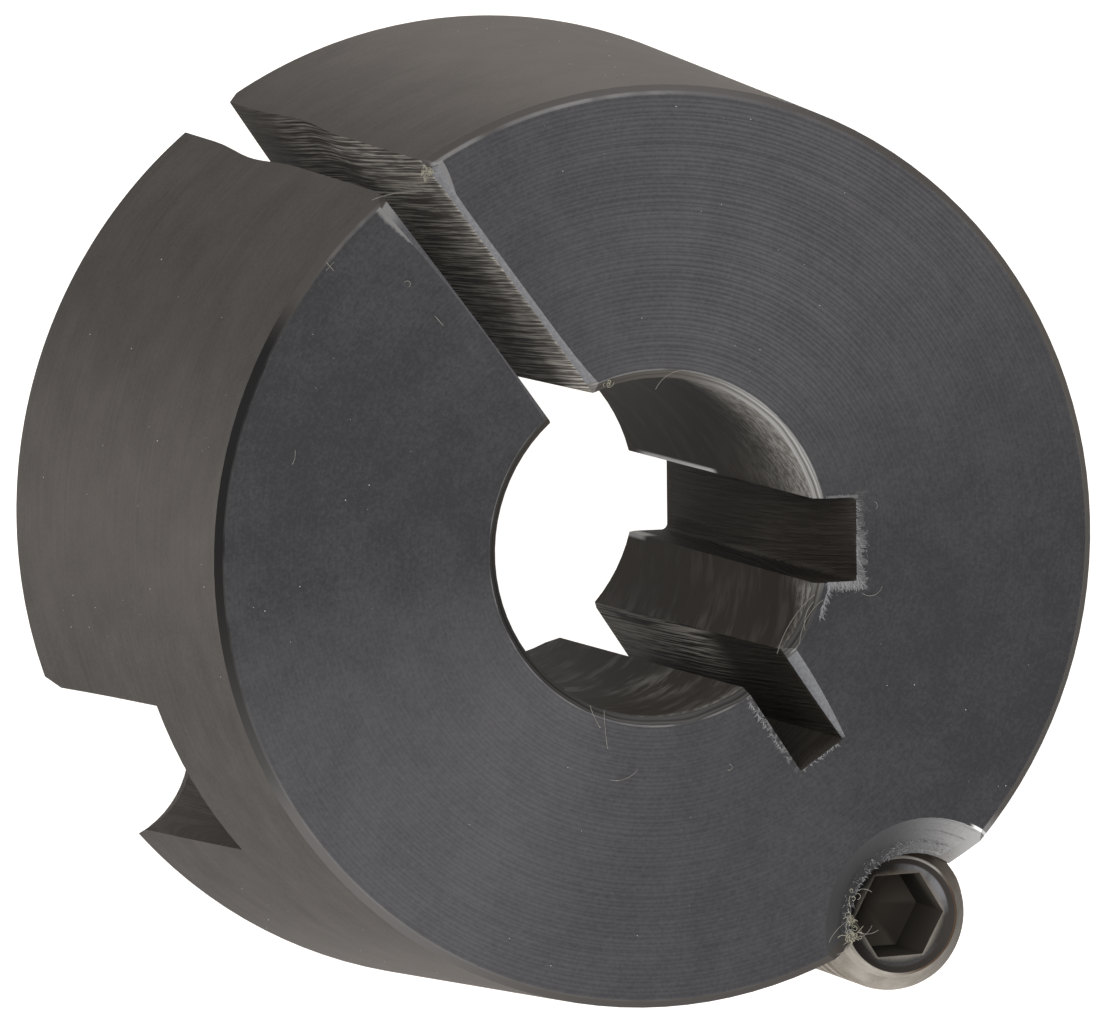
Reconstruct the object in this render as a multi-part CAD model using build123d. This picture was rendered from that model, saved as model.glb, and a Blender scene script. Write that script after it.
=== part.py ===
from build123d import *
import math
import os

# Split taper bush that clamps a half-inch shaft in a tapered hub.
# It stands on its large end: +Z runs along the bore towards the small end, and the
# origin is the bore's centre on the large end's face. Angles are degrees from +X,
# counter-clockwise as seen from the small end. Lengths are millimetres.

# The cone
length = 22.2
small_end_diameter = 35.3
taper_half_angle = 4.0
small_rim_chamfer = 0.3
large_rim_radius = 0.55

# The bore, held open a little by the split
bore_diameter = 13.0
bore_chamfer = 0.33

# The keyway
keyway_angle = -35.6
keyway_width = 3.25
keyway_floor = 8.0  # from the bore's axis to the floor
keyway_corner_radius = 0.25

# The through split and the blind relief slot opposite, cut by one leaning saw.
# Each offset is the slot's own shift to its counter-clockwise side, at half height.
saw_lean = 0.85
split_angle = 91.0
split_width = 2.02
split_offset = -0.39
split_swell = 0.24  # how far each wall bows out round the swell
split_swell_height = 8.4
split_swell_reach = 4.5  # from the swell's middle to where the wall is flat again
relief_angle = 268.15
relief_width = 2.1
relief_offset = 0.67
relief_floor = 10.45  # from the bore's axis to the flat end

# Hand-broken edges where the slots leave the two ends, wider in some places than others
split_break = 0.2
split_break_ends = 0.52  # the first wall's break widens to this at the bore and the rim
split_break_ends_run = 2.6
split_corner_break = 0.28
split_corner_break_rim = 0.5  # the second wall's break widens to this at the rim
split_corner_break_run = 1.8
split_foot_break = 0.6
split_foot_break_rim = 1.2
split_foot_break_run = 3.2
split_foot_corner_break = 0.35
relief_break = 0.36
relief_break_end = 0.1
relief_foot_break = 0.9

# Half-holes on the screw circle, which runs a little outside the small end's rim
screw_circle_standoff = 0.81
mounting_angle = 174.8  # its twin is straight across
mounting_hole_diameter = 6.7
mounting_hole_depth = 12.7
mounting_floor_radius = 1.6
mounting_mouth_flare = 0.5
mounting_mouth_depth = 2.0

# The removal hole, tapped from end to end: its wall lies at the thread's root, and
# the first crest stands full below the countersink
removal_angle = 270.0
removal_root_diameter = 6.3
removal_crest_diameter = 5.2
removal_crest_height = 1.3
removal_crest_flank = 0.35
removal_countersink_diameter = 8.3
removal_exit_chamfer = 0.5

# The socket set screw in the removal hole
screw_diameter = 6.1
screw_length = 12.7
screw_drop = 3.0  # from the small end's face to the screw's
screw_face_diameter = 4.62
screw_chamfer_height = 1.0
screw_point_diameter = 3.2
screw_point_chamfer_height = 1.3
screw_cup_depth = 0.7
socket_flats = 3.175
socket_depth = 3.2
socket_angle = -34.0
socket_tip_angle = 118.0

overcut = 2.0  # how far a cutter runs past the surface it leaves

small_end_radius = small_end_diameter / 2
large_end_radius = small_end_radius + length * math.tan(math.radians(taper_half_angle))
bore_radius = bore_diameter / 2
screw_circle_radius = small_end_radius + screw_circle_standoff


def turned(points):
    # A closed half-section in the XZ plane, turned once round the Z axis
    with BuildPart() as solid:
        with BuildSketch(Plane.XZ):
            with BuildLine():
                Polyline(*points, close=True)
            make_face()
        revolve(axis=Axis.Z)
    return solid.part


def radial_plane(angle):
    # Looks out along the angle: local x is its counter-clockwise side, local y is up
    direction = math.radians(angle)
    outward = (math.cos(direction), math.sin(direction), 0)
    sideways = (-math.sin(direction), math.cos(direction), 0)
    return Plane(origin=(0, 0, 0), x_dir=sideways, z_dir=outward)


def on_screw_circle(angle):
    direction = math.radians(angle)
    return Location((screw_circle_radius * math.cos(direction), screw_circle_radius * math.sin(direction), 0))


def lean_shift(height):
    # How far a leaning saw cut stands aside of its middle, clockwise round the split
    return (height - length / 2) * math.tan(math.radians(saw_lean))


def cone_blank():
    # The turned blank: bore, both faces, the cone and its broken edges
    shoulder = small_end_radius + small_rim_chamfer * math.tan(math.radians(taper_half_angle))
    with BuildPart() as blank:
        with BuildSketch(Plane.XZ) as section:
            with BuildLine():
                Polyline(
                    (bore_radius + bore_chamfer, 0),
                    (large_end_radius, 0),
                    (shoulder, length - small_rim_chamfer),
                    (small_end_radius - small_rim_chamfer, length),
                    (bore_radius + bore_chamfer, length),
                    (bore_radius, length - bore_chamfer),
                    (bore_radius, bore_chamfer),
                    close=True,
                )
            make_face()
            rim = section.vertices().sort_by(Axis.X)[-1]
            fillet(rim, radius=large_rim_radius)
        revolve(axis=Axis.Z)
    return blank.part


def split_cut():
    # The through split. Its walls bow out between the faces and lean together.
    swell_top = split_swell_height + split_swell_reach
    swell_bottom = split_swell_height - split_swell_reach
    top = length + overcut
    half = split_width / 2
    left = split_offset - half
    right = split_offset + half

    def wall(side, bow, height):
        return (side + bow - lean_shift(height), height)

    def swell(side, bow):
        flat_run = (math.tan(math.radians(saw_lean)), -1)
        Spline(
            wall(side, 0, swell_top),
            wall(side, bow, split_swell_height),
            wall(side, 0, swell_bottom),
            tangents=(flat_run, flat_run),
        )

    with BuildPart() as cutter:
        with BuildSketch(radial_plane(split_angle)):
            with BuildLine():
                Line(wall(left, 0, top), wall(left, 0, swell_top))
                swell(left, -split_swell)
                Line(wall(left, 0, swell_bottom), wall(left, 0, -overcut))
                Line(wall(left, 0, -overcut), wall(right, 0, -overcut))
                Line(wall(right, 0, -overcut), wall(right, 0, swell_bottom))
                swell(right, split_swell)
                Line(wall(right, 0, swell_top), wall(right, 0, top))
                Line(wall(right, 0, top), wall(left, 0, top))
            make_face()
        extrude(amount=large_end_radius + overcut)
    return cutter.part


def relief_cut():
    # The blind slot from the bore that lets the bush close, with a flat end
    top = length + overcut
    half = relief_width / 2
    with BuildPart() as cutter:
        with BuildSketch(radial_plane(relief_angle)):
            with BuildLine():
                Polyline(
                    (relief_offset - half + lean_shift(top), top),
                    (relief_offset + half + lean_shift(top), top),
                    (relief_offset + half + lean_shift(-overcut), -overcut),
                    (relief_offset - half + lean_shift(-overcut), -overcut),
                    close=True,
                )
            make_face()
        extrude(amount=relief_floor)
    return cutter.part


def keyway_cut():
    # Square keyway along the whole bore, its two floor corners eased
    with BuildPart() as cutter:
        with BuildSketch(Plane.XY.offset(-overcut)) as outline:
            with Locations((keyway_floor / 2, 0)):
                Rectangle(keyway_floor, keyway_width)
            fillet(outline.vertices().group_by(Axis.X)[-1], radius=keyway_corner_radius)
        extrude(amount=length + 2 * overcut)
    return cutter.part.rotate(Axis.Z, keyway_angle)


def edge_break(angle, wall, side, stations, face=length, inward=-1):
    # A file's 45 degree break along one edge of a slot, at the small end's face or,
    # with face 0 and inward 1, at the large end's. The stations are distances out
    # from the bore's axis, each with the width there.
    beyond = overcut / 10
    with BuildPart() as cutter:
        for reach, width in stations:
            with BuildSketch(radial_plane(angle).offset(reach)):
                with BuildLine():
                    Polyline(
                        (wall + side * (width + beyond), face - inward * beyond),
                        (wall - side * beyond, face + inward * (width + beyond)),
                        (wall - side * beyond, face - inward * beyond),
                        close=True,
                    )
                make_face()
        loft()
    return cutter.part


def small_end_breaks():
    # Both walls of the split, and one of the relief slot's
    shift = lean_shift(length)
    split_right = split_offset - split_width / 2 - shift
    split_left = split_offset + split_width / 2 - shift
    relief_left = relief_offset + relief_width / 2 + shift
    bore_edge = bore_radius - overcut / 2
    rim = small_end_radius + overcut / 4
    return [
        edge_break(split_angle, split_right, -1, [
            (bore_edge, split_break_ends),
            (bore_radius + split_break_ends_run, split_break),
            ((bore_radius + small_end_radius) / 2, split_break),
            (small_end_radius - split_break_ends_run, split_break),
            (rim, split_break_ends),
        ]),
        edge_break(split_angle, split_left, 1, [
            (bore_edge, split_corner_break),
            (small_end_radius - split_corner_break_run, split_corner_break),
            (rim, split_corner_break_rim),
        ]),
        edge_break(relief_angle, relief_left, 1, [
            (bore_edge, relief_break),
            ((bore_edge + relief_floor) / 2, relief_break),
            (relief_floor, relief_break_end),
        ]),
    ]


def large_end_breaks():
    # Both walls of the split, and the relief slot's wall that faces the split's wider break
    shift = lean_shift(0)
    split_right = split_offset - split_width / 2 - shift
    split_left = split_offset + split_width / 2 - shift
    relief_right = relief_offset - relief_width / 2 + shift
    bore_edge = bore_radius - overcut / 2
    rim = large_end_radius + overcut / 4
    return [
        edge_break(split_angle, split_right, -1, [
            (bore_edge, split_foot_break),
            (large_end_radius - split_foot_break_run, split_foot_break),
            (rim, split_foot_break_rim),
        ], 0, 1),
        edge_break(split_angle, split_left, 1, [
            (bore_edge, split_foot_corner_break),
            (rim, split_foot_corner_break),
        ], 0, 1),
        edge_break(relief_angle, relief_right, -1, [
            (bore_edge, relief_foot_break),
            (relief_floor, relief_foot_break / 2),
        ], 0, 1),
    ]


def mounting_cut():
    # Plain blind half-hole from the large end for a screw that pulls the bush in
    radius = mounting_hole_diameter / 2
    flare = radius + mounting_mouth_flare
    below = flare + mounting_mouth_flare / mounting_mouth_depth * overcut
    with BuildPart() as cutter:
        with BuildSketch(Plane.XZ) as section:
            with BuildLine():
                Polyline(
                    (0, -overcut),
                    (below, -overcut),
                    (radius, mounting_mouth_depth),
                    (radius, mounting_hole_depth),
                    (0, mounting_hole_depth),
                    close=True,
                )
            make_face()
            floor_corner = section.vertices().sort_by(Axis.Z)[-2:].sort_by(Axis.X)[-1]
            fillet(floor_corner, radius=mounting_floor_radius)
        revolve(axis=Axis.Z)
    return cutter.part


def removal_cut():
    # Tapped half-hole right through, countersunk at the small end
    root = removal_root_diameter / 2
    crest = removal_crest_diameter / 2
    sink = removal_countersink_diameter / 2
    crest_top = length - (sink - crest)
    crest_bottom = crest_top - removal_crest_height
    return turned([
        (0, -overcut),
        (root + removal_exit_chamfer + overcut, -overcut),
        (root, removal_exit_chamfer),
        (root, crest_bottom - removal_crest_flank),
        (crest, crest_bottom),
        (crest, crest_top),
        (sink + overcut, length + overcut),
        (0, length + overcut),
    ])


def taper_bush():
    bush = cone_blank()
    bush -= split_cut()
    bush -= relief_cut()
    bush -= keyway_cut()
    for angle in (mounting_angle, mounting_angle + 180):
        bush -= on_screw_circle(angle) * mounting_cut()
    bush -= on_screw_circle(removal_angle) * removal_cut()
    for cutter in small_end_breaks() + large_end_breaks():
        bush -= cutter
    return bush


def set_screw():
    # Socket set screw: long socket-end chamfer, hexagon socket, cup point
    radius = screw_diameter / 2
    point = screw_point_diameter / 2
    face = screw_face_diameter / 2
    screw = turned([
        (0, screw_cup_depth),
        (point, 0),
        (radius, screw_point_chamfer_height),
        (radius, screw_length - screw_chamfer_height),
        (face, screw_length),
        (0, screw_length),
    ])
    corner = socket_flats / math.sqrt(3)
    floor = screw_length - socket_depth
    with BuildPart() as socket:
        with BuildSketch(Plane.XY.offset(floor)):
            RegularPolygon(radius=corner, side_count=6)
        extrude(amount=socket_depth + overcut)
    tip_depth = (socket_flats / 2) / math.tan(math.radians(socket_tip_angle / 2))
    tip = turned([(0, floor - tip_depth), (socket_flats / 2, floor), (0, floor)])
    screw -= socket.part.rotate(Axis.Z, socket_angle)
    screw -= tip
    seat = Location((0, 0, length - screw_drop - screw_length))
    return on_screw_circle(removal_angle) * seat * screw


os.makedirs("parts", exist_ok=True)
export_step(taper_bush(), "parts/taper_bush.step")
export_step(set_screw(), "parts/set_screw.step")
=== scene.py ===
import math
import random
import bmesh
import bpy
from mathutils import Matrix, Vector


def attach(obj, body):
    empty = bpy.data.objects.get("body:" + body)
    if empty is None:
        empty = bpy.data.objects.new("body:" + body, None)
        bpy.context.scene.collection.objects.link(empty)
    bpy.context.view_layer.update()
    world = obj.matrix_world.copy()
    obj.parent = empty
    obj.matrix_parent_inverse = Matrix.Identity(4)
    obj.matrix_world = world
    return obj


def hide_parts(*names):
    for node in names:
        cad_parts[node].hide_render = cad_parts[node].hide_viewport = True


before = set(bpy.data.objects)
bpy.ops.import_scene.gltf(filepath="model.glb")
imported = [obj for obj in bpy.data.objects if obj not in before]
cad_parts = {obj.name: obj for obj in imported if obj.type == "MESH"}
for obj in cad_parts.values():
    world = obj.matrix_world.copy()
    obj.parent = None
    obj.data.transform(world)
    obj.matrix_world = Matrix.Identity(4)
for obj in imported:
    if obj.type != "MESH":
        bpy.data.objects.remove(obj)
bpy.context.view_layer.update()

print("frame loaded:", sorted(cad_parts))

mm = 0.001
creaseAngle = math.radians(35)

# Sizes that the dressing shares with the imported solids, in mm
bush = {
    "length": 22.2,
    "smallEndRadius": 17.65,
    "taper": math.radians(4),
    "boreRadius": 6.5,
    "boreChamfer": 0.33,
    "keywayAngle": math.radians(-35.6),
    "keywayHalfWidth": 1.625,
    "keywayFloor": 8.0,
    "splitAngle": math.radians(91),
    "reliefAngle": math.radians(268.15),
    "halfHoleAngles": (math.radians(174.8), math.radians(354.8)),
    "leftWall": 0.62,  # the split's walls, from its plane
    "rightWall": -1.38,
    "holeCentre": (0, -18.46),  # the threaded recess
    "holeRootRadius": 3.15,
    "holeCrestRadius": 2.6,
    "sinkRadius": 4.15,  # the recess's countersink at the small end
}


def coneRadius(height):
    return bush["smallEndRadius"] + (bush["length"] - height) * math.tan(bush["taper"])


# Camera, floor and lights
camera = {
    "place": (-101.05, 133.085, 483.767),  # mm
    "turn": (-5.4125, -18.6587, -36.2082),  # degrees
    "lens": 419.53,  # mm, on the sensor below
    "sensorWidth": 36,
    "clip": (0.01, 20),  # m
}
studio = {
    "worldColour": (1, 1, 1, 1),
    "worldGrey": 0.12,
    "floorGlow": 1.08,
    "floorTint": (1.0, 0.96, 0.93, 1),
    "floorColour": (0.30, 0.29, 0.28, 1),
    "floorRoughness": 0.9,
    "floorSize": 6000,  # mm
    "floorGap": 0.02,  # mm, so that the floor and the large end aren't one plane
    "lights": [
        # where it stands as seen from the camera (right, up, towards), mm, size, watts
        {"name": "softboxFront", "at": (-150, 60, 520), "size": (0.35, 0.35), "power": 3.0},
        {"name": "softboxHigh", "at": (330, 420, 420), "size": (0.4, 0.4), "power": 1.8},
        {"name": "softboxLow", "at": (-170, -378, 117), "size": (0.45, 0.16), "power": 2.6},
        {"name": "softboxTop", "at": (120, 480, 30), "size": (0.4, 0.05), "power": 1.2},
    ],
}


def makeCamera():
    data = bpy.data.cameras.new("camera")
    data.lens = camera["lens"]
    data.sensor_width = camera["sensorWidth"]
    data.clip_start, data.clip_end = camera["clip"]
    eye = bpy.data.objects.new("camera", data)
    eye.location = [value * mm for value in camera["place"]]
    eye.rotation_euler = [math.radians(value) for value in camera["turn"]]
    bpy.context.scene.collection.objects.link(eye)
    bpy.context.scene.camera = eye
    bpy.context.view_layer.update()
    return eye


def makeFloor():
    shape = bmesh.new()
    bmesh.ops.create_grid(shape, x_segments=1, y_segments=1, size=studio["floorSize"] / 2)
    bmesh.ops.translate(shape, verts=shape.verts, vec=(0, 0, -studio["floorGap"]))
    ground = finishPiece("floor", shape, None, smooth=False)
    material, _, _, shader = startMaterial("palePaper")
    shader.inputs["Base Color"].default_value = studio["floorColour"]
    shader.inputs["Roughness"].default_value = studio["floorRoughness"]
    shader.inputs["Specular IOR Level"].default_value = 0
    shader.inputs["Emission Color"].default_value = studio["floorTint"]
    shader.inputs["Emission Strength"].default_value = studio["floorGlow"]
    dress(ground, material)
    ground.visible_diffuse = False  # the paper shows in reflections but doesn't flood the walls


def makeStudio(eye):
    world = bpy.data.worlds.new("world")
    bpy.context.scene.world = world
    world.use_nodes = True
    background = world.node_tree.nodes["Background"]
    background.inputs["Color"].default_value = studio["worldColour"]
    background.inputs["Strength"].default_value = studio["worldGrey"]
    makeFloor()

    turn = eye.matrix_world.to_3x3()
    target = Vector((0, 0, bush["length"] / 2)) * mm
    for light in studio["lights"]:
        data = bpy.data.lights.new(light["name"], "AREA")
        data.shape = "RECTANGLE"
        data.size, data.size_y = light["size"]
        data.energy = light["power"]
        lamp = bpy.data.objects.new(light["name"], data)
        lamp.location = target + turn @ (Vector(light["at"]) * mm)
        lamp.rotation_euler = (target - lamp.location).to_track_quat("-Z", "Y").to_euler()
        bpy.context.scene.collection.objects.link(lamp)
    bpy.context.scene.view_settings.view_transform = "Standard"


# Pieces and materials
def finishPiece(name, shape, slot, smooth=True):
    # Turns a bmesh in mm into an object; one with a slot rides on the one body
    bmesh.ops.scale(shape, verts=shape.verts, vec=(mm, mm, mm))
    mesh = bpy.data.meshes.new(name)
    shape.to_mesh(mesh)
    shape.free()
    for face in mesh.polygons:
        face.use_smooth = smooth
    if smooth:
        mesh.set_sharp_from_angle(angle=creaseAngle)
    piece = bpy.data.objects.new(name, mesh)
    bpy.context.scene.collection.objects.link(piece)
    if slot:
        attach(piece, "root")
    return piece


def dress(piece, *materials):
    for material in materials:
        piece.data.materials.append(material)


def cutLevel(shape, height, side):
    # Takes away what lies above that height (side 1) or below it (side -1)
    everything = shape.verts[:] + shape.edges[:] + shape.faces[:]
    bmesh.ops.bisect_plane(shape, geom=everything, dist=1e-4, plane_co=(0, 0, height),
                           plane_no=(0, 0, side), clear_outer=True)


def setReach(corner, radius, onlyIn=False):
    # Moves a corner straight out or in to that radius about the z axis
    reach = math.hypot(corner.co.x, corner.co.y)
    if reach > radius or not onlyIn:
        corner.co.x *= radius / reach
        corner.co.y *= radius / reach


def nodeMaker(tree):
    # Adds a node, sets its options, joins its inputs and gives back one output
    def make(kind, *joined, output=0, **options):
        added = tree.nodes.new("ShaderNode" + kind)
        for name, value in options.items():
            setattr(added, name, value)
        named = joined[0].items() if joined and isinstance(joined[0], dict) else enumerate(joined)
        for key, value in named:
            if isinstance(value, bpy.types.NodeSocket):
                tree.links.new(value, added.inputs[key])
            else:
                added.inputs[key].default_value = value
        return added.outputs[output]
    return make


def startMaterial(name):
    material = bpy.data.materials.new(name)
    material.use_nodes = True
    tree = material.node_tree
    return material, tree, nodeMaker(tree), tree.nodes["Principled BSDF"]


def sums(make):
    # Short names for the sums that the patterns use
    def add(a, b):
        return make("Math", a, b, operation="ADD")

    def less(a, b):
        return make("Math", a, b, operation="SUBTRACT")

    def times(a, b):
        return make("Math", a, b, operation="MULTIPLY")

    def band(value, low, high, start=0.0, end=1.0):
        return make("MapRange", {"Value": value, "From Min": low, "From Max": high,
                                 "To Min": start, "To Max": end}, interpolation_type="SMOOTHSTEP")

    def blend(factor, first, second):
        return make("MixRGB", factor, first, second)

    def dot(a, b):
        return make("VectorMath", a, b, operation="DOT_PRODUCT", output="Value")
    return add, less, times, band, blend, dot


def makeNoise(make, settings, where, dimensions="3D"):
    # A noise from its scale, detail and roughness
    scale, detail, roughness = settings
    key = "W" if dimensions == "1D" else "Vector"
    return make("TexNoise", {key: where, "Scale": scale, "Detail": detail, "Roughness": roughness},
                noise_dimensions=dimensions)


def pointing(degrees):
    angle = math.radians(degrees)
    return math.cos(angle), math.sin(angle), 0


def placeInMm(make):
    return make("VectorMath", {"Vector": make("TexCoord", output="Object"), "Scale": 1 / mm},
                operation="SCALE")


def placeAboutAxis(make, axisY=0.0):
    # The place in mm, its parts, and how far and which way it lies from an upright axis at that y
    place = placeInMm(make)
    x, y, z = make("SeparateXYZ", place).node.outputs
    flat = make("CombineXYZ", x, make("Math", y, axisY, operation="SUBTRACT"), 0.0)
    radius = make("VectorMath", flat, operation="LENGTH", output="Value")
    ray = make("VectorMath", flat, operation="NORMALIZE")
    return place, (x, y, z), flat, radius, ray


# The bush's black-oxide finish
bushFinish = {
    "face": (0.036, 0.0350, 0.0372, 1),  # cool grey on the faced ends
    # the lighter face tone, reached by random tone and by the painted sheen and painted light
    "faceLight": (0.086, 0.0835, 0.0870, 1),
    "faceShade": (0.0345, 0.0338, 0.0355, 1),  # a little darker towards one side
    "cone": (0.010, 0.0088, 0.0078, 1),  # warmer on the ground cone
    # the lighter cone tone, reached by random tone and by the painted light
    "coneLight": (0.110, 0.099, 0.090, 1),
    "wall": (0.022, 0.0175, 0.0135, 1),  # sawn and broached walls
    # bright, so that the streaks stand in for glints: painted reflection
    "wallStreakGlint": (0.53, 0.49, 0.44, 1),
    "bore": (0.020, 0.0150, 0.0110, 1),
    "boreLighter": (0.22, 0.208, 0.193, 1),
    "filed": (0.075, 0.075, 0.079, 1),  # filed and countersunk edges
    "filedLight": (0.135, 0.136, 0.144, 1),
    "filedDark": (0.014, 0.0125, 0.011, 1),
    "sinkLeft": (0.052, 0.0515, 0.0555, 1),
    "sinkRight": (0.28, 0.275, 0.27, 1),
    "rim": (0.047, 0.0425, 0.040, 1),
    # painted shade on the rim's chamfer
    "rimDark": (0.006, 0.0055, 0.0055, 1),
    # painted light on the rim's chamfer
    "rimRight": (0.060, 0.050, 0.042, 1),
    "boreEdge": (0.055, 0.048, 0.041, 1),
    "bareAndHighlight": (0.24, 0.235, 0.23, 1),  # oxide rubbed off an edge; also the painted highlight along the rim
    # painted highlights
    "paintedHighlight": (0.90, 0.89, 0.87, 1),
    # where each tone, painted light, painted shade and painted sheen is strongest, degrees round the axis
    # from +X
    "directions": {
        "sheenPeak": 35.0, "faceLight": 186.0, "faceDark": 233.0,
        "coneLight": 98.0, "coneDark": 178.0, "coneFarLight": 45.0,
        "boreLighter": 4.0, "boreSmears": 240.0, "boreEdgeRub": -6.0, "boreEdge": 50.0,
        "rimDark": 143.0, "rimDarkest": 115.0, "rimRight": -50.0, "rimLine": 76.0, "rimLineWide": 75.0,
    },
    "boreMiddle": 88.0,  # the bore pattern's seam lies straight across, in the relief slot
    "shadeAxis": (0.81, -0.59, 0),  # out of the face's darker side
    "sinkAxis": (0.85, -0.53, 0),  # from the countersink's dark side to its light one
    # scale, detail and roughness of each noise
    "noises": {
        "cloud": (0.45, 2.0, 0.6), "grain": (7.0, 2.0, 0.7), "ring": (3.2, 2.0, 0.7),
        "lines": (1.0, 2.0, 0.65), "streak": (1.0, 3.0, 0.65), "smears": (1.0, 3.0, 0.7),
        "scuffs": (1.0, 3.0, 0.75), "arcs": (6.0, 2.0, 0.7), "turned": (1.0, 2.0, 0.7),
        "tufts": (3.5, 2.0, 0.8),
    },
    "turningPitch": 0.172,  # mm between tool marks on the faces
    "turningDrift": 9.0,  # how unevenly they are spaced
    "markDepth": 0.0028,  # mm, of the tool marks
    "streakDepth": 0.18,  # mm, on the sawn and broached walls
    "streakLean": 0.0018,  # how far the saw wandered, per mm of height squared
    "burrReach": 0.34,  # mm from the keyway's edge
    "edgeWidth": 0.05,  # of the bare line round the bore
    "roughness": 0.40,
    "coneRoughness": 0.40,  # added on the cone
    "wallRoughness": 0.3,
    "specular": 0.12,
}


def makeBushMaterial():
    material, tree, make, shader = startMaterial("blackOxideBush")
    add, less, times, band, blend, dot = sums(make)
    place, (x, y, z), flat, radius, ray = placeAboutAxis(make)
    finish = bushFinish
    top, rim, bore = bush["length"], bush["smallEndRadius"], bush["boreRadius"]
    boreEdge = bore + bush["boreChamfer"]

    def noise(name, where, dimensions="3D"):
        return makeNoise(make, finish["noises"][name], where, dimensions)

    def toward(name):
        # 1 where the place lies in that direction from the axis, -1 opposite
        return dot(ray, pointing(finish["directions"][name]))

    def out(degrees):
        # mm from the axis in that direction
        return dot(flat, pointing(degrees))

    def aside(degrees):
        # mm counter-clockwise of the plane through the axis in that direction
        return dot(flat, pointing(degrees + 90))

    def nearLine(value, middle, width):
        return band(make("Math", less(value, middle), operation="ABSOLUTE"), width, times(width, 0.4))

    def greater(a, b):
        return make("Math", a, b, operation="MAXIMUM")

    # where each kind of surface lies, by its slope and its place
    normal = make("NewGeometry", output="True Normal")
    nz = make("SeparateXYZ", normal, output="Z")
    outward = dot(normal, ray)
    onEnd = band(make("Math", nz, operation="ABSOLUTE"), 0.95, 0.97)
    onTop = band(nz, 0.9, 0.95)
    onCone = times(band(outward, 0.9, 0.95), band(radius, rim - 0.75, rim - 0.55))
    inBore = times(band(outward, -0.95, -0.99), band(radius, bore + 0.12, bore + 0.06))
    filed = times(times(band(nz, 0.25, 0.35), band(nz, 0.97, 0.95)), band(z, top - 3.2, top - 2.7))
    onRim = times(filed, band(radius, rim - 0.45, rim - 0.35))
    onBoreEdge = times(filed, band(radius, boreEdge + 0.12, boreEdge + 0.07))
    inWall = times(times(less(1.0, onEnd), less(1.0, onCone)), less(1.0, filed))

    # noises shared by several surfaces
    cloud = noise("cloud", place)
    grain = noise("grain", place)
    speckle = less(grain, 0.5)

    # faces: tool marks round the axis, shown clearest in two opposite sectors by a painted sheen, with
    # painted light towards one side and painted shade towards another
    ring = noise("ring", radius, "1D")
    phase = add(times(radius, 2 * math.pi / finish["turningPitch"]), times(ring, finish["turningDrift"]))
    mark = make("Math", phase, operation="SINE")
    # painted sheen: lighter in two opposite sectors, as light would catch turned grooves
    across = toward("sheenPeak")
    paintedSheen = times(across, across)
    markShow = add(0.1, times(times(paintedSheen, paintedSheen), band(across, -0.9, 0.3, 0.45, 0.95)))
    faceTone = add(times(band(cloud, 0.35, 0.65), 0.12), times(paintedSheen, 0.55))
    faceTone = add(faceTone, times(times(mark, markShow), 0.22))
    # random grain, and painted light towards one side of the face
    faceTone = add(faceTone, add(times(speckle, 0.8), band(toward("faceLight"), 0.75, 1.0, 0.02, 0.24)))
    # painted shade towards another side of the face
    faceTone = less(faceTone, band(toward("faceDark"), 0.85, 1.0, 0.0, 0.15))
    shaded = times(band(dot(flat, finish["shadeAxis"]), -2.0, -13.0), 0.8)
    faceColour = blend(faceTone, blend(shaded, finish["face"], finish["faceShade"]), finish["faceLight"])

    # cone: fine grinding lines round it, with painted light and painted shade by direction round the axis
    slow = make("VectorMath", place, (0.12, 0.12, 7.0), operation="MULTIPLY")
    lines = noise("lines", slow)
    coneTone = add(times(cloud, 0.3), add(times(less(lines, 0.5), 0.25), times(speckle, 0.3)))
    # painted light towards two directions and painted shade towards a third
    coneTone = add(coneTone, band(toward("coneLight"), 0.8, 1.0, 0.45, 0.21))
    coneTone = less(coneTone, band(toward("coneDark"), 0.8, 1.0, 0.0, 0.27))
    coneTone = add(coneTone, band(toward("coneFarLight"), 0.7, 1.0, 0.0, 0.35))
    coneColour = blend(coneTone, finish["cone"], finish["coneLight"])

    # sawn and broached walls: streaks that run along the axis, real saw marks in a bright painted glint
    # colour, with painted light on the split's walls towards the small end
    leaning = less(y, times(times(z, z), finish["streakLean"]))
    streak = noise("streak", make("CombineXYZ", times(leaning, 10.0), times(z, 0.14), 0.0), "2D")
    nearSplit = times(band(y, 5.5, 6.5), band(z, 1.0, 13.0, 0.08, 1.0))
    nearRelief = times(band(y, -5.8, -6.4), times(band(z, 15.0, 9.0), band(radius, 9.5, 7.2)))
    streakShow = add(add(0.03, times(nearSplit, band(cloud, 0.3, 0.6, 0.5, 1.0))), times(nearRelief, 1.6))
    streakTone = times(band(streak, 0.42, 0.64), streakShow)
    # painted light on the split's walls towards the small end
    streakTone = add(streakTone, times(times(nearSplit, band(z, 9.0, 17.0)), 0.13))
    wallColour = blend(streakTone, finish["wall"], finish["wallStreakGlint"])

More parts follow.
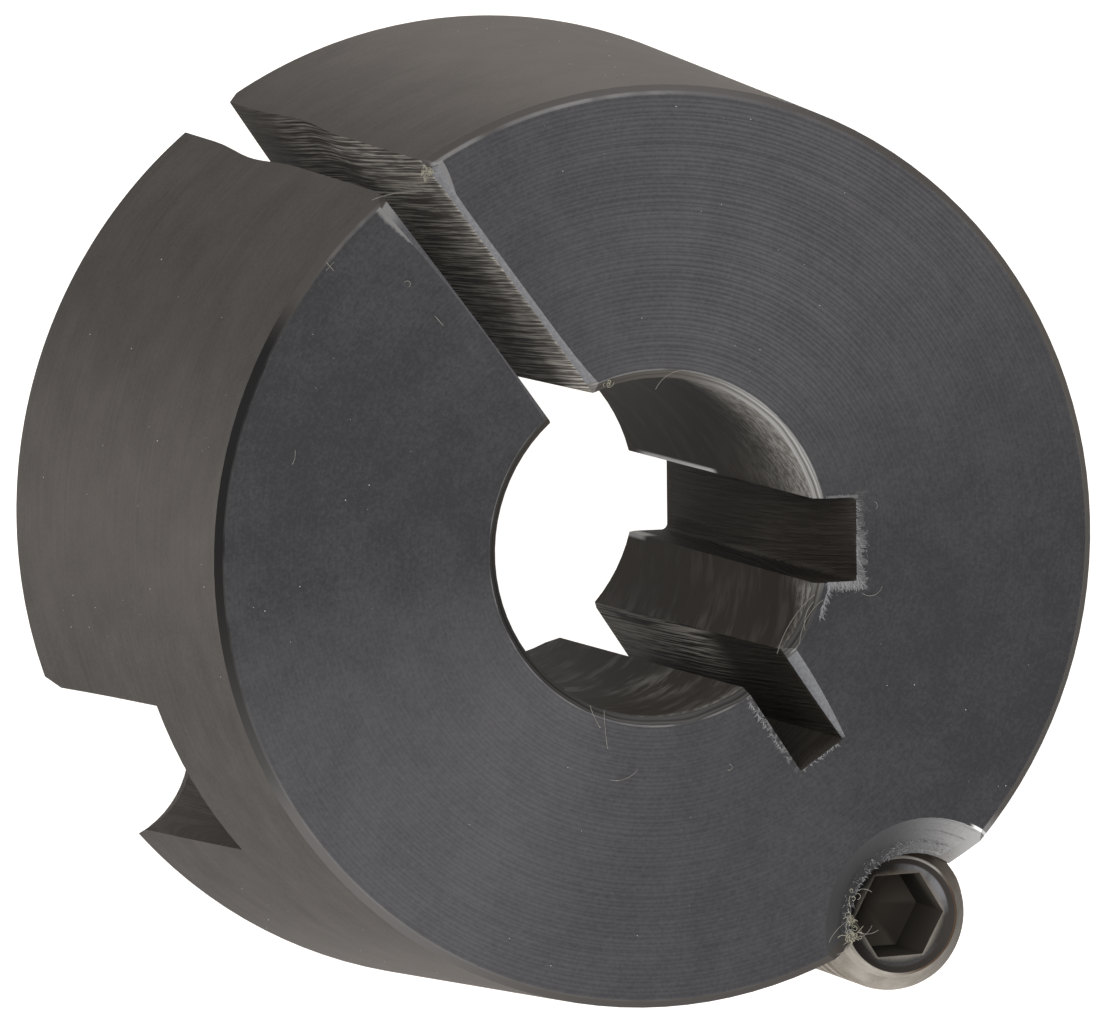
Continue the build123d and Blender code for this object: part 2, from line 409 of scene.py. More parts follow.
    # bore: slanting smears, and lighter along the small end's edge, reaching deeper towards one side, with
    # scuffs
    around = make("Math", aside(finish["boreMiddle"]), out(finish["boreMiddle"]), operation="ARCTAN2")
    arc = times(around, bore)
    slant = make("CombineXYZ", times(add(times(arc, 0.62), times(z, 0.78)), 0.9),
                 times(less(times(arc, 0.78), times(z, 0.62)), 0.2), 0.0)
    smears = noise("smears", slant, "2D")
    scuffPlace = make("CombineXYZ", times(arc, 2.4), times(add(z, times(arc, 0.5)), 3.4), 0.0)
    scuffs = noise("scuffs", scuffPlace, "2D")
    lighterReach = band(toward("boreLighter"), 0.35, 0.96, 1.2, 8.5)
    deep = less(top, z)
    lighterNearEnd = band(make("Math", deep, lighterReach, operation="DIVIDE"), 1.05, 0.15)
    lowSide = times(band(toward("boreSmears"), 0.6, 0.9), band(z, 20.0, 13.0, 0.15, 1.0))
    smearShow = times(add(0.12, times(lowSide, 0.6)), band(cloud, 0.38, 0.58, 0.15, 1.0))
    boreTone = add(times(band(smears, 0.44, 0.66), smearShow),
                   times(lighterNearEnd, add(0.2, times(band(scuffs, 0.36, 0.66), 0.72))))
    boreColour = blend(boreTone, finish["bore"], finish["boreLighter"])

    # countersink: arcs about the hole, lighter towards one side
    fromHole = make("VectorMath", flat, (*bush["holeCentre"], 0), operation="SUBTRACT")
    holeRadius = make("VectorMath", fromHole, operation="LENGTH", output="Value")
    holeSide = dot(fromHole, finish["sinkAxis"])
    arcs = noise("arcs", add(holeRadius, times(cloud, 0.3)), "1D")
    sinkColour = blend(band(holeSide, -1.6, 3.8), finish["sinkLeft"], finish["sinkRight"])
    arcShow = times(band(holeSide, 0.0, 1.2, 0.08, 0.36), band(holeSide, 3.4, 2.9))
    arcTone = add(times(band(arcs, 0.50, 0.38), arcShow), times(speckle, 0.8))
    sinkColour = blend(arcTone, sinkColour, finish["filedDark"])

    # filed edges, with bare metal at the split's corner
    filedColour = blend(add(0.35, times(speckle, 1.6)), finish["filed"], finish["filedLight"])
    inSink = band(holeRadius, bush["sinkRadius"] + 0.25, bush["sinkRadius"] + 0.15)
    filedColour = blend(inSink, filedColour, sinkColour)
    corner = times(band(y, 16.0, 16.9), band(x, -0.2, -0.4))
    filedColour = blend(times(corner, 0.7), filedColour, finish["bareAndHighlight"])

    # chamfers of the small end's rim and of the bore; the rim's tone by direction is painted light and
    # painted shade
    # painted shade on the rim's chamfer towards two directions
    rimShade = times(band(toward("rimDark"), 0.82, 0.90), band(toward("rimDarkest"), 0.6, 0.95, 0.72, 1.0))
    rimColour = blend(rimShade, finish["rim"], finish["rimDark"])
    # painted light, lighter brown, towards another direction
    rimColour = blend(band(toward("rimRight"), 0.3, 0.9), rimColour, finish["rimRight"])
    # painted light on the rim's chamfer beside the countersink
    besideSinkPaintedLight = times(band(holeRadius, 5.3, 4.4), band(holeSide, 0.5, 2.5, 0.0, 0.8))
    rimColour = blend(besideSinkPaintedLight, rimColour, finish["sinkRight"])
    filedColour = blend(onRim, filedColour, rimColour)
    turned = noise("turned", add(times(radius, 9.0), times(cloud, 1.5)), "1D")
    boreEdgeTone = times(band(toward("boreEdgeRub"), 0.6, 0.97, 0.2, 1.0),
                         band(turned, 0.38, 0.62, 0.1, 0.85))
    boreEdgeColour = blend(band(toward("boreEdge"), -0.5, 0.2), finish["filedDark"], finish["boreEdge"])
    filedColour = blend(onBoreEdge, filedColour, blend(boreEdgeTone, boreEdgeColour, finish["bareAndHighlight"]))

    colour = blend(inBore, wallColour, boreColour)
    colour = blend(onCone, colour, coneColour)
    colour = blend(onEnd, colour, faceColour)
    colour = blend(filed, colour, filedColour)

    # edges of the small end rubbed bare, with a painted highlight along the rim that is strongest towards one
    # side
    rimLineWidth = band(toward("rimLineWide"), 0.7, 0.95, 0.05, 0.1)
    rimLine = nearLine(radius, rim - 0.28, rimLineWidth)
    rimLine = times(rimLine, band(toward("rimLine"), 0.86, 0.97, 0.12, 0.62))
    boreLine = times(nearLine(radius, boreEdge, finish["edgeWidth"]), 0.6)
    edges = times(add(rimLine, boreLine), band(z, top - 0.3, top - 0.1))
    edges = times(edges, band(cloud, 0.35, 0.6, 0.1, 0.7))
    colour = blend(edges, colour, finish["bareAndHighlight"])

    # burr that the broach left on the small end's face round the keyway
    keyOut = out(math.degrees(bush["keywayAngle"]))
    keySide = aside(math.degrees(bush["keywayAngle"]))
    keyHalf, keyFloor = bush["keywayHalfWidth"], bush["keywayFloor"]
    ragged = times(less(noise("tufts", flat, "2D"), 0.5), 1.3)
    burrEnds = finish["burrReach"], finish["burrReach"] * 0.6
    floorBurr = times(band(add(less(keyOut, keyFloor), ragged), *burrEnds),
                      times(band(keySide, 1.2, -0.4, 0.25, 1.0), band(keyOut, keyFloor - 0.1, keyFloor)))
    floorBurr = times(floorBurr, times(band(keySide, -1.95, -1.85), band(keySide, 1.9, 1.8)))
    sideBurr = times(band(add(less(-keyHalf, keySide), ragged), *burrEnds),
                     times(band(keyOut, 6.6, 7.2), band(keyOut, keyFloor + 0.3, keyFloor + 0.2)))
    sideBurr = times(sideBurr, band(keySide, -1.5, -1.6))
    otherEdge = times(nearLine(keySide, keyHalf + 0.03, 0.09),
                      times(band(keyOut, 6.7, 6.9), band(keyOut, keyFloor + 0.1, keyFloor)))

    # chips along the relief slot, and bare patches beside the split near the rim
    reliefSide = aside(math.degrees(bush["reliefAngle"]))
    reliefChips = times(nearLine(reliefSide, -0.3, 0.22), band(grain, 0.45, 0.62))
    reliefChips = times(times(reliefChips, band(y, -6.4, -6.8)),
                        times(band(y, -10.8, -9.5), band(x, 1.0, 0.5)))
    burrPaint = greater(greater(floorBurr, sideBurr), greater(otherEdge, reliefChips))
    splitSide = aside(math.degrees(bush["splitAngle"]))
    patchWidth = band(y, 14.6, 17.3, 0.05, 0.55)
    left, right = bush["leftWall"], bush["rightWall"]
    patch = times(band(less(splitSide, times(ragged, 0.15)), add(left, patchWidth),
                       add(left, times(patchWidth, 0.6))), band(splitSide, left - 0.22, left - 0.12))
    farWidth = band(y, 14.6, 17.3, 0.1, 0.72)
    farPatch = times(band(splitSide, less(right - 0.04, farWidth), less(right - 0.02, farWidth)),
                     band(splitSide, right + 0.08, right))
    patch = times(add(patch, farPatch), band(y, 14.8, 15.8))
    colour = blend(times(times(burrPaint, onTop), 0.42), colour, finish["bareAndHighlight"])
    colour = blend(times(times(patch, onTop), 0.6), colour, finish["bareAndHighlight"])

    # painted highlights: bright reflection lines on the keyway's corners in the bore and on the countersink's
    # edge
    keyCornerGlint = times(nearLine(keySide, keyHalf, 0.2), band(radius, 6.9, 6.7))
    keyCornerGlint = times(times(keyCornerGlint, band(z, 1.0, 3.0)), times(band(z, 11.2, 10.2), band(keyOut, 0.0, 1.0)))
    lowCornerGlint = times(nearLine(keySide, -keyHalf, 0.22), times(band(radius, 7.1, 6.8), band(z, 2.6, 1.8)))
    keyCornerGlint = add(keyCornerGlint, times(times(lowCornerGlint, 0.6), band(keyOut, 0.0, 1.0)))
    colour = blend(keyCornerGlint, colour, finish["paintedHighlight"])
    glint = times(nearLine(holeRadius, bush["sinkRadius"] + 0.04, 0.08), band(holeSide, 2.0, 2.3))
    colour = blend(times(glint, band(z, top - 0.8, top - 0.4)), colour, finish["paintedHighlight"])

    # fine relief
    height = times(times(times(mark, markShow), finish["markDepth"]), onEnd)
    height = add(height, times(times(streak, finish["streakDepth"]), times(inWall, less(1.0, inBore))))
    bump = make("Bump", {"Height": height, "Distance": mm, "Strength": 1.0})
    tree.links.new(bump, shader.inputs["Normal"])

    rough = add(finish["roughness"], times(onCone, finish["coneRoughness"]))
    rough = add(rough, times(inWall, finish["wallRoughness"]))
    rough = less(rough, times(keyCornerGlint, 0.5))
    tree.links.new(rough, shader.inputs["Roughness"])
    tree.links.new(colour, shader.inputs["Base Color"])
    shader.inputs["Specular IOR Level"].default_value = finish["specular"]
    return material


# The set screw, with its real thread
screw = {
    "radius": 3.05,  # over the thread crests
    "rootRadius": 2.5,
    "pitch": 1.27,
    "crestFlat": 0.36,  # share of the pitch
    "rootFlat": 0.14,
    "bottom": 6.5,
    "top": 19.2,
    "faceRadius": 2.31,
    "chamferHeight": 1.0,
    "pointRadius": 1.6,
    "pointHeight": 1.3,
    "cupDepth": 0.7,
    "lipRadius": 2.24,
    "lipRise": 0.03,
    "dishRadius": 1.97,
    "dishDepth": 0.13,
    "flats": 3.175,  # across the socket's hexagon
    "socketAngle": math.radians(-34),
    "socketStep": 0.05,  # from the dish down to the hexagon's edge
    "socketDepth": 3.2,
    "tipDepth": 0.95,
    "steps": 72,
    "flatCuts": 11,  # in each side of the hexagon
    "threadStart": 0.25,  # where the first groove starts round the screw, in turns
    "threadSpare": 2.5,  # pitches that the thread starts below the point, before it is cut
}
screwFinish = {
    "body": (0.150, 0.130, 0.105, 1),
    "bodyLight": (0.29, 0.265, 0.23, 1),
    "brown": (0.085, 0.055, 0.036, 1),
    "ring": (0.024, 0.020, 0.018, 1),  # dark ring inside the lip
    "face": (0.024, 0.021, 0.019, 1),
    "faceLight": (0.19, 0.19, 0.20, 1),
    # painted light: the socket lighter than the oxide
    "socket": (0.16, 0.14, 0.115, 1),
    # painted shade on some of the socket's walls
    "socketDark": (0.036, 0.031, 0.026, 1),
    "paintedHighlight": (0.72, 0.69, 0.64, 1),
    # where each tone, painted light and painted highlight is strongest, degrees round the screw's axis from
    # +X
    "directions": {
        "bodyLight": 262.0, "brown": 30.0, "spot": 192.0, "faceLight": 12.0, "faceFarLight": 240.0,
        "lipBrown": -60.0, "lipBright": 48.0,
    },
    "socketDarkSide": 120.0,  # the way that the socket's walls with painted shade look
    # scale, detail and roughness of each noise
    "patches": (1.4, 3.0, 0.55),
    "grain": (12.0, 2.0, 0.7),
    "grainDepth": 0.004,  # mm
    "roughness": 0.48,
    "grainRoughness": 0.15,
    "socketRoughness": 0.35,  # added in the socket
    "specular": 0.1,
}


def threadSection():
    # One pitch of the thread, as radius and height, with points enough to cut chamfers through
    pitch, root, crest = screw["pitch"], screw["rootRadius"], screw["radius"]
    rootRun = screw["rootFlat"] * pitch
    crestRun = screw["crestFlat"] * pitch
    flank = (pitch - rootRun - crestRun) / 2
    crestEnd = pitch - rootRun / 2 - flank
    section = [(root, -rootRun / 2), (root, rootRun / 2)]
    section += [(root + (crest - root) * t, rootRun / 2 + flank * t) for t in (0.25, 0.5, 0.75, 1)]
    section += [(crest, pitch / 2), (crest, crestEnd)]
    section += [(crest - (crest - root) * t, crestEnd + flank * t) for t in (0.25, 0.5, 0.75)]
    return section


def extrudeRing(shape, edges, radius, height):
    # Carries a ring of edges to a new height, and to a new radius if there is one
    grown = bmesh.ops.extrude_edge_only(shape, edges=edges)["geom"]
    corners = [item for item in grown if isinstance(item, bmesh.types.BMVert)]
    for corner in corners:
        if radius is not None:
            setReach(corner, radius)
        corner.co.z = height
    return [item for item in grown if isinstance(item, bmesh.types.BMEdge)
            and all(corner in corners for corner in item.verts)]


def closeRing(shape, edges, height):
    # Draws a ring of edges together into one point on the axis
    ring = extrudeRing(shape, edges, None, height)
    corners = dict.fromkeys(corner for edge in ring for corner in edge.verts)
    bmesh.ops.pointmerge(shape, verts=list(corners), merge_co=(0, 0, height))


def spinThread(shape):
    # Open ribbon of thread, longer than the screw at both ends
    pitch = screw["pitch"]
    turn = math.floor(screw["bottom"] / pitch - screw["threadSpare"]) + screw["threadStart"]
    corners = []
    while turn * pitch < screw["top"] + pitch:
        corners += [shape.verts.new((radius, 0, turn * pitch + rise)) for radius, rise in threadSection()]
        turn += 1
    line = [shape.edges.new(pair) for pair in zip(corners, corners[1:])]
    bmesh.ops.spin(shape, geom=corners + line, cent=(0, 0, 0), axis=(0, 0, 1), angle=2 * math.pi,
                   dvec=(0, 0, pitch / screw["steps"]), steps=screw["steps"], use_merge=False)
    bmesh.ops.remove_doubles(shape, verts=shape.verts, dist=1e-3)


def makeScrew():
    shape = bmesh.new()
    top, bottom = screw["top"], screw["bottom"]
    spinThread(shape)
    for corner in shape.verts:
        down = min(max(top - corner.co.z, 0) / screw["chamferHeight"], 1)
        up = min(max(corner.co.z - bottom, 0) / screw["pointHeight"], 1)
        limit = min(screw["faceRadius"] + (screw["radius"] - screw["faceRadius"]) * down,
                    screw["pointRadius"] + (screw["radius"] - screw["pointRadius"]) * up)
        setReach(corner, limit, onlyIn=True)
    cutLevel(shape, top, 1)
    cutLevel(shape, bottom, -1)

    # socket end: a thin lip, a dished ring, then the hexagon
    rim = [edge for edge in shape.edges if edge.is_boundary and edge.verts[0].co.z > top - 0.01]
    rim = extrudeRing(shape, rim, screw["lipRadius"], top + screw["lipRise"])
    rim = extrudeRing(shape, rim, screw["dishRadius"], top - screw["dishDepth"])
    place = (Matrix.Translation((0, 0, top - screw["dishDepth"] - screw["socketStep"]))
             @ Matrix.Rotation(screw["socketAngle"] - math.pi / 2, 4, "Z"))
    hexagon = bmesh.ops.create_circle(shape, segments=6, radius=screw["flats"] / math.sqrt(3),
                                      matrix=place)["verts"]
    sides = [edge for edge in shape.edges if all(corner in hexagon for corner in edge.verts)]
    divided = bmesh.ops.subdivide_edges(shape, edges=sides, cuts=screw["flatCuts"])["geom_split"]
    sides = [item for item in divided if isinstance(item, bmesh.types.BMEdge)]
    bmesh.ops.bridge_loops(shape, edges=rim + sides)
    floor = top - screw["socketDepth"]
    sides = extrudeRing(shape, sides, None, floor)
    closeRing(shape, sides, floor - screw["tipDepth"])

    # cup point
    rim = [edge for edge in shape.edges if edge.is_boundary]
    closeRing(shape, rim, bottom + screw["cupDepth"])

    bmesh.ops.recalc_face_normals(shape, faces=shape.faces)
    bmesh.ops.translate(shape, verts=shape.verts, vec=(*bush["holeCentre"], 0))
    piece = finishPiece("socketScrew", shape, "set_screw")
    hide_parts("set_screw")
    return piece


def makeScrewMaterial():
    material, tree, make, shader = startMaterial("blackOxideScrew")
    add, less, times, band, blend, dot = sums(make)
    place, (_, _, z), _, radius, ray = placeAboutAxis(make, bush["holeCentre"][1])
    finish = screwFinish
    top = screw["top"]

    def toward(name):
        # 1 where the place lies in that direction from the screw's axis, -1 opposite
        return dot(ray, pointing(finish["directions"][name]))

    patches = makeNoise(make, finish["patches"], place)
    grain = makeNoise(make, finish["grain"], place)
    speckle = less(grain, 0.5)

    # body: painted light on one side, browner on another, with one painted highlight spot
    bodyTone = add(band(patches, 0.35, 0.7, 0.0, 0.45), times(speckle, 0.6))
    bodyTone = add(bodyTone, band(toward("bodyLight"), 0.4, 0.98, 0.0, 0.62))
    colour = blend(bodyTone, finish["body"], finish["bodyLight"])
    colour = blend(times(band(toward("brown"), 0.4, 0.9), 0.55), colour, finish["brown"])
    spot = times(band(toward("spot"), 0.93, 0.985), band(z, top - 0.95, top - 0.6))
    colour = blend(times(spot, 0.14), colour, finish["paintedHighlight"])

    # socket end: the dish with painted light towards two directions, the dark ring, and the lip with a
    # painted highlight
    # painted light on the dish towards two directions
    faceTone = add(times(band(toward("faceLight"), 0.6, 0.95), 0.65),
                   times(band(toward("faceFarLight"), 0.5, 0.98), 0.12))
    faceTone = add(times(faceTone, band(patches, 0.25, 0.6, 0.55, 1.0)), times(speckle, 0.25))
    face = blend(faceTone, finish["face"], finish["faceLight"])
    face = blend(band(radius, screw["dishRadius"], screw["dishRadius"] + 0.08), face, finish["ring"])
    lip = blend(band(toward("lipBrown"), 0.1, 0.8), finish["bodyLight"], finish["brown"])
    # painted highlight on the lip
    lip = blend(times(band(toward("lipBright"), 0.7, 0.9), 0.75), lip, finish["paintedHighlight"])
    face = blend(band(radius, screw["lipRadius"] - 0.02, screw["lipRadius"] + 0.01), face, lip)
    nearTop = times(band(z, top - 0.2, top - 0.14),
                    band(radius, screw["faceRadius"] + 0.05, screw["faceRadius"]))
    colour = blend(nearTop, colour, face)

    # socket: painted lighter than the oxide to stand in for light inside it, with painted shade on the walls
    # that look to one side
    edge = top - screw["dishDepth"] - screw["socketStep"]
    reach = screw["flats"] / math.sqrt(3)
    inSocket = times(band(radius, reach + 0.047, reach + 0.027), band(z, edge + 0.006, edge - 0.002))
    shaded = dot(make("NewGeometry", output="Normal"), pointing(finish["socketDarkSide"]))
    socket = blend(band(shaded, -0.1, 0.5), finish["socket"], finish["socketDark"])
    colour = blend(inSocket, colour, socket)

    rough = add(finish["roughness"], times(grain, finish["grainRoughness"]))
    rough = add(rough, times(inSocket, finish["socketRoughness"]))
    bump = make("Bump", {"Height": times(grain, finish["grainDepth"]), "Distance": mm, "Strength": 1.0})
    tree.links.new(colour, shader.inputs["Base Color"])
    tree.links.new(rough, shader.inputs["Roughness"])
    tree.links.new(bump, shader.inputs["Normal"])
    shader.inputs["Specular IOR Level"].default_value = finish["specular"]
    return material


# Thread left in the wall of the removal recess
recess = {
    "bottom": 0.55,
    "top": 19.25,
    "crestFlat": 0.12,  # share of the pitch
    "flankAngle": math.radians(30),
    "embed": 0.06,  # how far the ridge is sunk in the wall
    "inset": 0.02,  # how far its ends stay inside the cone
    "steps": 30,
}


def recessLimit(height, reach):
    # Angle from the hole's own +X at which a point at that reach meets the bush's cone
    offset = -bush["holeCentre"][1]
    return math.asin((offset ** 2 + reach ** 2 - coneRadius(height) ** 2) / (2 * offset * reach))


def makeRecessThread():
    shape = bmesh.new()
    pitch = screw["pitch"]
    root = bush["holeRootRadius"] + recess["embed"]
    crest = bush["holeCrestRadius"]
    flank = (root - crest) * math.tan(recess["flankAngle"])
    half = recess["crestFlat"] * pitch / 2
    section = [(root, -half - flank), (crest, -half), (crest, half), (root, half + flank)]
    start = screw["threadStart"] * pitch
    turn = math.floor((recess["bottom"] - start) / pitch) - 1
    while start + turn * pitch < recess["top"] + pitch:
        # each turn of the ridge sweeps over the half of the circle that has a wall
        middle = start + (turn + 0.25) * pitch
        begin = recessLimit(middle, root)
        sweep = math.pi - 2 * begin
        base = start + turn * pitch + begin / (2 * math.pi) * pitch
        corners = [shape.verts.new((radius * math.cos(begin), radius * math.sin(begin), base + rise))
                   for radius, rise in section]
        loop = [shape.edges.new(pair) for pair in zip(corners, corners[1:] + corners[:1])]
        first = shape.faces.new(corners)
        bmesh.ops.spin(shape, geom=corners + loop + [first], cent=(0, 0, 0), axis=(0, 0, 1),
                       angle=sweep, dvec=(0, 0, pitch * sweep / (2 * math.pi) / recess["steps"]),
                       steps=recess["steps"], use_merge=False)
        turn += 1
    bmesh.ops.translate(shape, verts=shape.verts, vec=(*bush["holeCentre"], 0))
    for corner in shape.verts:
        setReach(corner, coneRadius(corner.co.z) - recess["inset"], onlyIn=True)
    for height, side in ((recess["bottom"], -1), (recess["top"], 1)):
        cutLevel(shape, height, side)
        openEdges = [edge for edge in shape.edges if edge.is_boundary]
        bmesh.ops.holes_fill(shape, edges=openEdges, sides=0)
    bmesh.ops.recalc_face_normals(shape, faces=shape.faces)
    return finishPiece("recessThread", shape, "taper_bush")


# Burr hairs along the broached and sawn edges
burr = {
    "thickness": 0.022,
    "tip": 0.2,  # share of the thickness left at a hair's end
    "lift": 0.004,  # above the face
    "rise": (0, 0.1),  # how steeply a hair climbs
    # lines on the small end's face: direction from the axis, from and to (mm out, mm aside),
    # heading and spread in degrees, how many, shortest and longest
    "lines": [
        ("keywayAngle", (7.98, 1.5), (7.98, -1.6), 0, 60, 90, (0.08, 0.28)),
        ("keywayAngle", (7.98, 0.2), (7.98, -1.75), -15, 50, 130, (0.18, 0.48)),
        ("keywayAngle", (6.8, -1.6), (8.2, -1.6), -80, 50, 130, (0.15, 0.45)),
        ("keywayAngle", (6.85, -1.7), (6.45, -2.9), -60, 60, 60, (0.1, 0.35)),
        ("keywayAngle", (6.75, 1.64), (8.05, 1.64), 90, 80, 30, (0.05, 0.16)),
        ("reliefAngle", (6.95, -0.38), (9.3, -0.36), -90, 70, 46, (0.06, 0.26)),
        ("reliefAngle", (10.47, -0.3), (10.47, 1.6), 0, 70, 34, (0.05, 0.2)),
    ],
    # flecks of thread left on the countersink's inner edge, between two directions from the hole
    "flecks": {
        "count": 240, "from": 26, "to": 158, "reach": (2.8, 3.25), "length": (0.06, 0.2),
        "lift": 0.02, "rise": (-0.3, 0.5), "thickness": (0.5, 1.2),  # shares of a hair's
    },
    "finish": {"colour": (0.23, 0.23, 0.235, 1), "roughness": 0.45, "mottle": 6.0},
}


def addHair(shape, root, heading, length, rise, thickness):
    direction = Vector((math.cos(heading), math.sin(heading), rise))
    place = (Matrix.Translation(Vector(root) + direction * length / 2)
             @ direction.to_track_quat("Z", "X").to_matrix().to_4x4())
    bmesh.ops.create_cone(shape, cap_ends=True, segments=3, radius1=thickness,
                          radius2=thickness * burr["tip"], depth=length, matrix=place)


def makeBurr(rng):
    shape = bmesh.new()
    top = bush["length"]
    for angle, begin, end, aim, spread, count, lengths in burr["lines"]:
        turn = bush[angle]
        for _ in range(count):
            out, side = Vector(begin).lerp(Vector(end), rng.random())
            root = (out * math.cos(turn) - side * math.sin(turn),
                    out * math.sin(turn) + side * math.cos(turn), top + burr["lift"])
            heading = turn + math.radians(aim + rng.gauss(0, spread / 2))
            addHair(shape, root, heading, rng.uniform(*lengths), rng.uniform(*burr["rise"]),
                    burr["thickness"])
    flecks = burr["flecks"]
    nearest, farthest = flecks["reach"]
    for _ in range(flecks["count"]):
        angle = math.radians(rng.uniform(flecks["from"], flecks["to"]))
        reach = nearest + (farthest - nearest) * rng.random() ** 2
        sunk = bush["sinkRadius"] - max(reach, bush["holeRootRadius"])
        root = (bush["holeCentre"][0] + reach * math.cos(angle),
                bush["holeCentre"][1] + reach * math.sin(angle), top - sunk + flecks["lift"])
        addHair(shape, root, rng.uniform(0, 2 * math.pi), rng.uniform(*flecks["length"]),
                rng.uniform(*flecks["rise"]), burr["thickness"] * rng.uniform(*flecks["thickness"]))
    bmesh.ops.recalc_face_normals(shape, faces=shape.faces)
    return finishPiece("edgeBurr", shape, "taper_bush", smooth=False)


# Lint on the face and its corners
lint = {
    "steps": 8,
    "looseRadius": 0.011,
    "looseRise": 0.02,
    # start on the small end's face, heading, length, and how far it bends; angles in degrees
    "loose": [
        ((-1.27, 17.72), -17, 1.8, -25), ((3.45, 5.0), 24, 1.5, -70), ((5.45, -6.43), -71, 1.0, 110),
        ((3.89, -5.3), -177, 2.75, 38), ((4.05, -5.68), -180, 2.0, 55), ((3.7, -5.5), -170, 1.2, 60),
        ((-5.42, -3.62), -125, 1.5, 10), ((-5.75, -3.11), -110, 1.0, 20),
        ((-6.79, -5.96), -44, 1.2, 60), ((-2.85, -8.58), -49, 0.4, 200),
        ((-2.05, 14.17), 13, 0.45, 200), ((-1.89, 12.65), -84, 0.5, 0), ((7.8, -4.18), 13, 0.35, 120),
        ((-9.71, 11.58), 24, 0.6, 40), ((-4.1, 16.94), -84, 0.45, 0), ((-3.85, 16.75), -170, 0.45, 0),
        ((-3.56, -16.52), 29, 1.1, -40), ((-2.37, -17.18), -3, 0.6, 30),
        ((-1.43, -15.61), -20, 0.6, -60), ((-2.4, -16.9), -60, 0.9, 60), ((-2.9, -17.1), 200, 0.7, -50),
    ],
    # tangles: centre, spread, fibres
    "tangles": [
        ((1.12, 17.15, 22.0), 0.16, 26), ((2.1, 6.35, 22.16), 0.15, 10),
        ((-2.3, -16.35, 22.1), 0.15, 20), ((-2.62, -16.95, 22.1), 0.22, 38),
        ((-1.75, -15.6, 22.1), 0.2, 5),
    ],
    "tangleRadius": (0.008125, 0.0125),
    "tangleLength": (0.14, 0.48),
    "tangleDepth": 0.1,
    "tangleBend": 7,  # radians, either way
    "tangleRise": (0.0, 0.05),
    "finish": {"colour": (0.38, 0.36, 0.28, 1), "roughness": 0.9, "mottle": 4.0},
    "looseFinish": {"colour": (0.24, 0.225, 0.20, 1), "roughness": 0.9, "mottle": 4.0},
}


def addFibre(shape, start, heading, length, bend, rise, radius):
    # A thin tube that turns as it goes
    steps = lint["steps"]
    direction = Vector((math.cos(heading), math.sin(heading), 0))
    place = Matrix.Translation(start) @ direction.to_track_quat("Z", "X").to_matrix().to_4x4()
    corners = bmesh.ops.create_circle(shape, segments=4, radius=radius, matrix=place)["verts"]
    ring = [edge for edge in shape.edges if edge.verts[0] in corners and edge.verts[1] in corners]
    first = ring
    middle = Vector(start)
    for step in range(steps):
        grown = bmesh.ops.extrude_edge_only(shape, edges=ring)["geom"]
        corners = [item for item in grown if isinstance(item, bmesh.types.BMVert)]
        ring = [item for item in grown if isinstance(item, bmesh.types.BMEdge)
                and item.verts[0] in corners and item.verts[1] in corners]
        turn = Matrix.Rotation(bend / steps, 3, "Z")
        lift = rise * math.sin((step + 0.5) / steps * math.pi * 2) * math.pi / steps
        move = direction * (length / steps) + Vector((0, 0, lift))
        bmesh.ops.rotate(shape, verts=corners, cent=middle, matrix=turn)
        bmesh.ops.translate(shape, verts=corners, vec=move)
        middle += move
        direction = turn @ direction
    bmesh.ops.holes_fill(shape, edges=first, sides=0)
    bmesh.ops.holes_fill(shape, edges=ring, sides=0)


def makeLint(rng):
    shape = bmesh.new()
    for start, heading, length, bend in lint["loose"]:
        addFibre(shape, (*start, bush["length"]), math.radians(heading), length, math.radians(bend),
                 lint["looseRise"], lint["looseRadius"])
    for face in shape.faces:
        face.material_index = 1
    bend = lint["tangleBend"]
    for centre, spread, count in lint["tangles"]:
        for _ in range(count):
            start = [value + rng.uniform(-spread, spread) for value in centre[:2]]
            start.append(centre[2] - rng.uniform(0, lint["tangleDepth"]))
            addFibre(shape, start, rng.uniform(0, 2 * math.pi), rng.uniform(*lint["tangleLength"]),
                     rng.uniform(-bend, bend), rng.uniform(*lint["tangleRise"]),
                     rng.uniform(*lint["tangleRadius"]))
    bmesh.ops.recalc_face_normals(shape, faces=shape.faces)
    return finishPiece("lint", shape, "taper_bush")


# Dust on the small end's face and on the cone
dust = {
    "onFace": 110,
    "onCone": 160,
    "radius": (0.012, 0.03),
    "width": (0.5, 1),  # shares of a speck's length
    "height": 0.6,
    "faceMargins": (1, 0.5),  # kept clear of the bore and of the rim
    "coneMargins": (1.5, 0.6),  # kept clear of the large and of the small end
    "clear": 4.0,  # mm kept clear on both sides of each opening's middle
    "finish": {"colour": (0.50, 0.50, 0.49, 1), "roughness": 0.9, "mottle": 4.0},
}


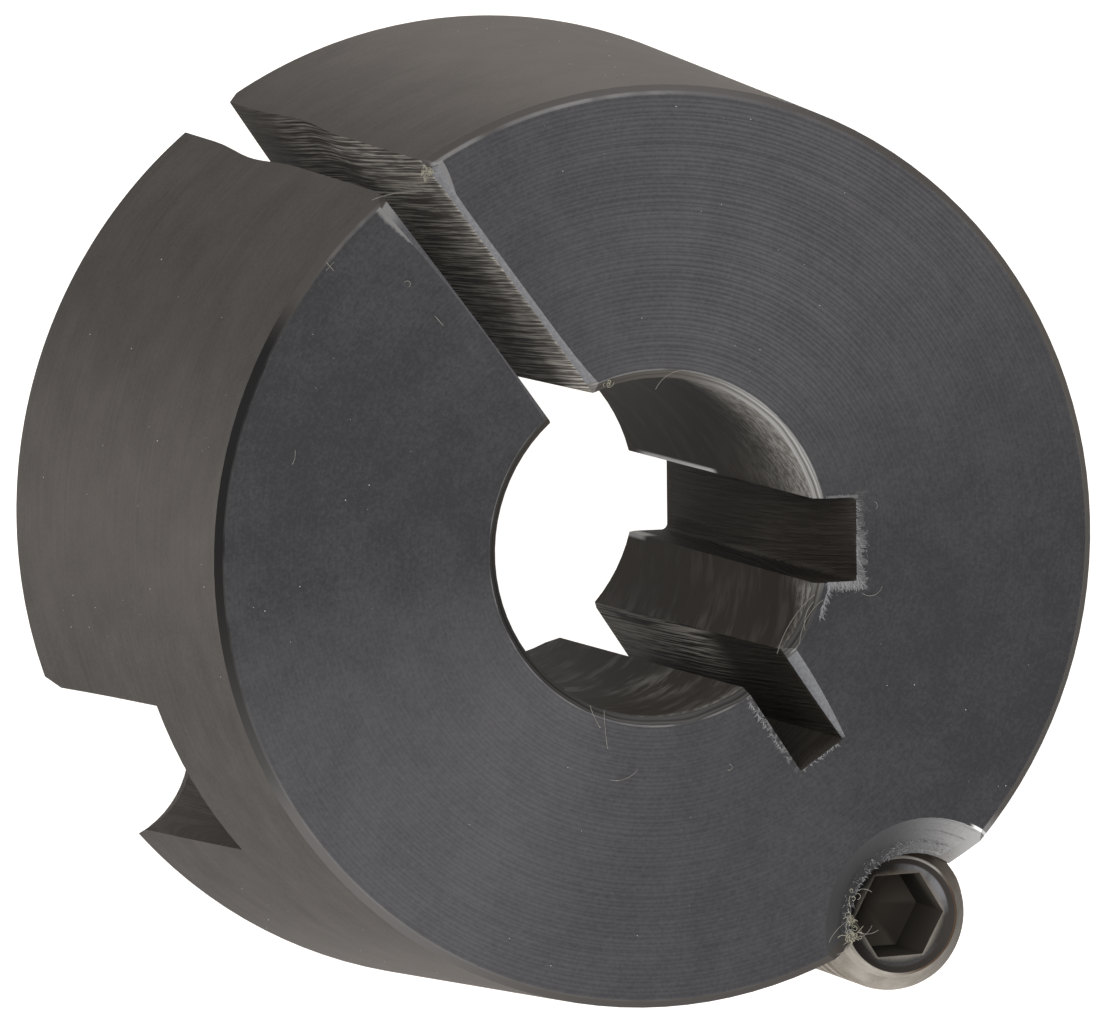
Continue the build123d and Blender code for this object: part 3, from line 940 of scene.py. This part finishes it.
def makeDust(rng):
    shape = bmesh.new()
    openings = [bush["splitAngle"], bush["reliefAngle"], bush["keywayAngle"], *bush["halfHoleAngles"]]
    nearest = bush["boreRadius"] + dust["faceMargins"][0]
    farthest = bush["smallEndRadius"] - dust["faceMargins"][1]
    lowest, highest = dust["coneMargins"][0], bush["length"] - dust["coneMargins"][1]
    for number in range(dust["onFace"] + dust["onCone"]):
        angle = rng.uniform(0, 2 * math.pi)
        if number < dust["onFace"]:
            reach = math.sqrt(rng.uniform(nearest ** 2, farthest ** 2))
            height = bush["length"]
        else:
            height = rng.uniform(lowest, highest)
            reach = coneRadius(height)
        away = min(abs((angle - middle + math.pi) % (2 * math.pi) - math.pi) for middle in openings)
        if away * reach < dust["clear"]:
            continue
        size = rng.uniform(*dust["radius"])
        place = (Matrix.Translation((reach * math.cos(angle), reach * math.sin(angle), height))
                 @ Matrix.Diagonal((1, rng.uniform(*dust["width"]), dust["height"], 1)))
        bmesh.ops.create_icosphere(shape, subdivisions=1, radius=size, matrix=place)
    return finishPiece("dustSpecks", shape, "taper_bush")


def makePlainFinish(name, finish):
    # One tone with fine mottling
    material, tree, make, shader = startMaterial(name)
    mottle = makeNoise(make, (finish["mottle"], 2.0, 0.5), placeInMm(make))
    darker = tuple(value * 0.5 for value in finish["colour"][:3]) + (1,)
    tree.links.new(make("MixRGB", mottle, darker, finish["colour"]), shader.inputs["Base Color"])
    shader.inputs["Roughness"].default_value = finish["roughness"]
    shader.inputs["Specular IOR Level"].default_value = 0.2
    return material


makeStudio(makeCamera())
print("camera, floor and lights placed")

bushMaterial = makeBushMaterial()
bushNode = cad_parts["taper_bush"]
bushNode.data.materials.clear()
dress(bushNode, bushMaterial)
print("bush dressed")

dress(makeScrew(), makeScrewMaterial())
dress(makeRecessThread(), bushMaterial)
print("screw and recess thread made")

rng = random.Random(7)
dress(makeBurr(rng), makePlainFinish("bareBurr", burr["finish"]))
dress(makeLint(rng), makePlainFinish("lintFibre", lint["finish"]),
      makePlainFinish("looseFibre", lint["looseFinish"]))
dress(makeDust(rng), makePlainFinish("dustSpeck", dust["finish"]))
print("burr, lint and dust made")
